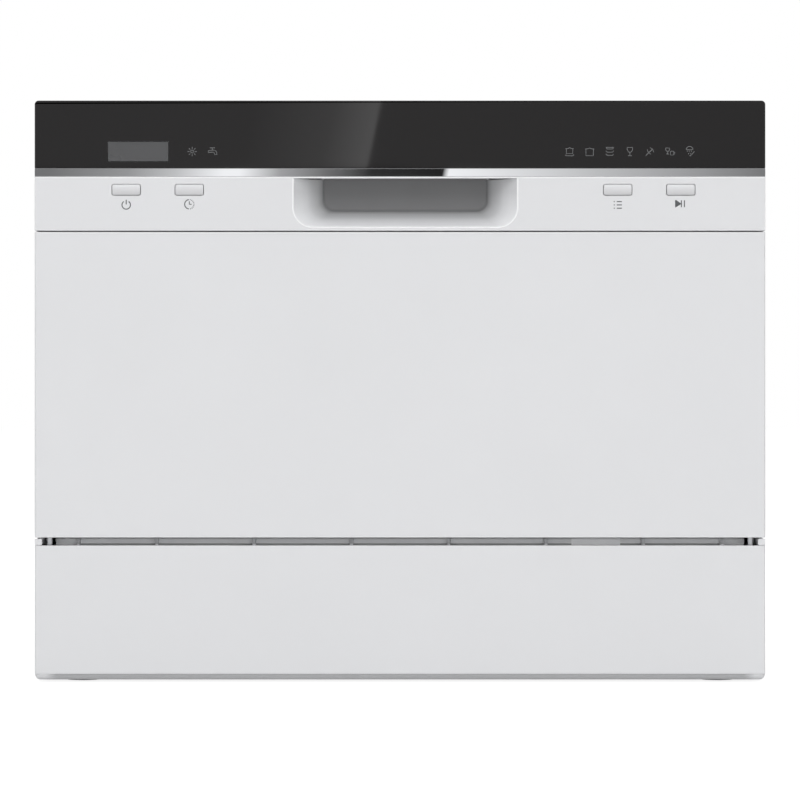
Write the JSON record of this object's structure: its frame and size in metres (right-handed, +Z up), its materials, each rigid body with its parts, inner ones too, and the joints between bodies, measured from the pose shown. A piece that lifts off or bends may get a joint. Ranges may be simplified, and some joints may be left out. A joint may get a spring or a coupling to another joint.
{
  "type": "countertop dishwasher",
  "caption": "Front-loading countertop dishwasher with a drop-down door, a roll-out wire rack, a cutlery basket, a spray arm and a steel tub.",
  "frame": {"origin": "centre of the footprint, on the surface that the feet stand on", "axes": "+Z up; -Y towards the user, out of the front; +X to the right seen from the front"},
  "size_m": [0.55, 0.5, 0.438],
  "materials": {
    "painted_white": "powder coat, semi-gloss",
    "moulded_white": "fine satin",
    "black_window": "glossy, printed black behind",
    "chrome_trim": "bright",
    "display_glass": "glossy tinted",
    "stainless": "brushed",
    "zinc_steel": "zinc plated",
    "rubber": "matte",
    "grey_plastic": "satin",
    "dark_plastic": "satin",
    "circuit_board": "solder mask",
    "coated_wire": "vinyl coated, satin"
  },
  "bodies": {
    "root": {"base_tray": "moulded_white", "plinth_panel": "painted_white", "rubber_feet": "rubber", "side_panel_left": "painted_white", "side_panel_right": "painted_white", "top_panel": "painted_white", "rear_panel": "zinc_steel", "tub_wrapper": "stainless", "tub_back": "stainless", "tub_floor": "stainless", "door_gasket": "rubber", "sump": "grey_plastic", "filter_plate": "stainless", "wash_pump": "dark_plastic", "drain_pump": "dark_plastic", "drain_hose": "rubber", "drain_outlet": "grey_plastic", "flow_heater": "zinc_steel", "inlet_valve": "grey_plastic", "fill_chamber": "grey_plastic", "fill_hose": "rubber", "leak_switch": "moulded_white", "cord_gland": "dark_plastic", "door_strike": "zinc_steel", "hinge_bracket_left": "painted_white", "hinge_bracket_right": "painted_white", "door_spring_left": "zinc_steel", "door_spring_right": "zinc_steel", "case_screws": "zinc_steel"},
    "door": {"door_skin": "painted_white", "control_panel": "moulded_white", "fascia_window": "black_window", "trim_strip": "chrome_trim", "display_window": "display_glass", "control_board": "circuit_board", "door_lock": "dark_plastic", "door_liner": "stainless", "lower_seal": "rubber", "hinge_arm_left": "zinc_steel", "hinge_arm_right": "zinc_steel", "door_screws": "zinc_steel", "dispenser_body": "grey_plastic"},
    "power_button": {"button_power": "moulded_white"},
    "delay_button": {"button_delay": "moulded_white"},
    "program_button": {"button_program": "moulded_white"},
    "start_button": {"button_start": "moulded_white"},
    "detergent_lid": {"dispenser_lid": "moulded_white"},
    "rinse_aid_cap": {"rinse_cap": "dark_plastic"},
    "rack": {"rack_rim": "coated_wire", "rack_long_wires": "coated_wire", "rack_cross_wires": "coated_wire", "rack_tines": "coated_wire", "wheel_carriers": "grey_plastic", "shelf_clips": "grey_plastic"},
    "front_wheel_pair": {"front_wheels": "grey_plastic"},
    "rear_wheel_pair": {"rear_wheels": "grey_plastic"},
    "cutlery_holder": {"cutlery_basket": "grey_plastic"},
    "cup_rest": {"cup_shelf": "grey_plastic"},
    "spray_rotor": {"spray_arm": "grey_plastic"},
    "filter_insert": {"filter_cylinder": "grey_plastic"}
  },
  "joints": [
    {"name": "door_hinge", "type": "hinge", "parent": "root", "child": "door", "pos_m": [0, -0.2374, 0.12207], "axis": [1, 0, 0], "range_deg": [0, 90], "deforming": ["door_spring_left", "door_spring_right"]},
    {"name": "rack_slide", "type": "slide", "parent": "root", "child": "rack", "axis": [0, -1, 0], "range_m": [0, 0.101]},
    {"name": "front_wheels_roll", "type": "hinge", "parent": "rack", "child": "front_wheel_pair", "pos_m": [0, -0.1284, 0.15537], "axis": [1, 0, 0], "range_deg": [0, 640]},
    {"name": "rear_wheels_roll", "type": "hinge", "parent": "rack", "child": "rear_wheel_pair", "pos_m": [0, 0.1196, 0.15537], "axis": [1, 0, 0], "range_deg": [0, 640]},
    {"name": "spray_spin", "type": "hinge", "parent": "root", "child": "spray_rotor", "pos_m": [0, 0.0023, 0.15507], "axis": [0, 0, 1], "continuous": true},
    {"name": "filter_twist", "type": "hinge", "parent": "root", "child": "filter_insert", "pos_m": [0.058, -0.0377, 0.12807], "axis": [0, 0, 1], "range_deg": [0, 60]},
    {"name": "cutlery_lift", "type": "slide", "parent": "rack", "child": "cutlery_holder", "axis": [0, 0, 1], "range_m": [0, 0.095]},
    {"name": "cup_shelf_fold", "type": "hinge", "parent": "rack", "child": "cup_rest", "pos_m": [-0.21298, 0.0056, 0.25537], "axis": [0, -1, 0], "range_deg": [0, 85]},
    {"name": "detergent_lid_slide", "type": "slide", "parent": "door", "child": "detergent_lid", "axis": [1, 0, 0], "range_m": [0, 0.048]},
    {"name": "rinse_cap_turn", "type": "hinge", "parent": "door", "child": "rinse_aid_cap", "pos_m": [0.036, -0.2044, 0.2871], "axis": [0, 1, 0], "range_deg": [0, 90]},
    {"name": "power_press", "type": "slide", "parent": "door", "child": "power_button", "axis": [0, 1, 0], "range_m": [0, 0.0015], "stiffness_N_per_m": 700, "springref_m": -0.001},
    {"name": "delay_press", "type": "slide", "parent": "door", "child": "delay_button", "axis": [0, 1, 0], "range_m": [0, 0.0015], "stiffness_N_per_m": 700, "springref_m": -0.001},
    {"name": "program_press", "type": "slide", "parent": "door", "child": "program_button", "axis": [0, 1, 0], "range_m": [0, 0.0015], "stiffness_N_per_m": 700, "springref_m": -0.001},
    {"name": "start_press", "type": "slide", "parent": "door", "child": "start_button", "axis": [0, 1, 0], "range_m": [0, 0.0015], "stiffness_N_per_m": 700, "springref_m": -0.001}
  ],
  "couplings": [
    {"joint": "rack_slide", "follows": "door_hinge", "m_per_rad": 0.0637},
    {"joint": "front_wheels_roll", "follows": "door_hinge", "ratio": 7.0778},
    {"joint": "rear_wheels_roll", "follows": "door_hinge", "ratio": 7.0778}
  ]
}
